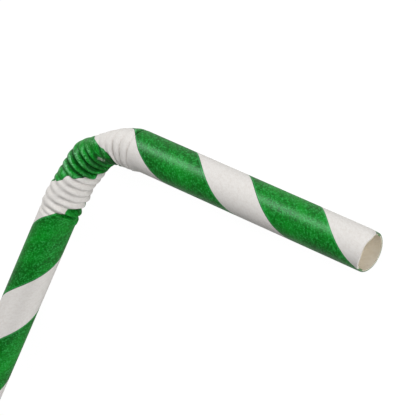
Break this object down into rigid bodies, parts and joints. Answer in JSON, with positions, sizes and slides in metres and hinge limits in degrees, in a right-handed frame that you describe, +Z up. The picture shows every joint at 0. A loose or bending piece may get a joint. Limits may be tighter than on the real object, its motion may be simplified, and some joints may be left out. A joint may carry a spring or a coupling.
{
  "type": "flexible paper drinking straw",
  "caption": "Bent paper drinking straw, a spiral-wound striped paper tube with a crimped flexible section between a long foot arm and a short mouth arm.",
  "frame": {"origin": "below the middle of the straw's box, on the surface that it lies on", "axes": "+Y along the long foot arm, from its open end towards the bend; +X to the side that the mouth arm bends to; +Z up"},
  "size_m": [0.0544, 0.1542, 0.0064],
  "materials": {
    "printed_paper": "green and white striped uncoated paper, soft satin sheen"
  },
  "bodies": {
    "root": {"straw": "printed_paper"}
  },
  "joints": []
}
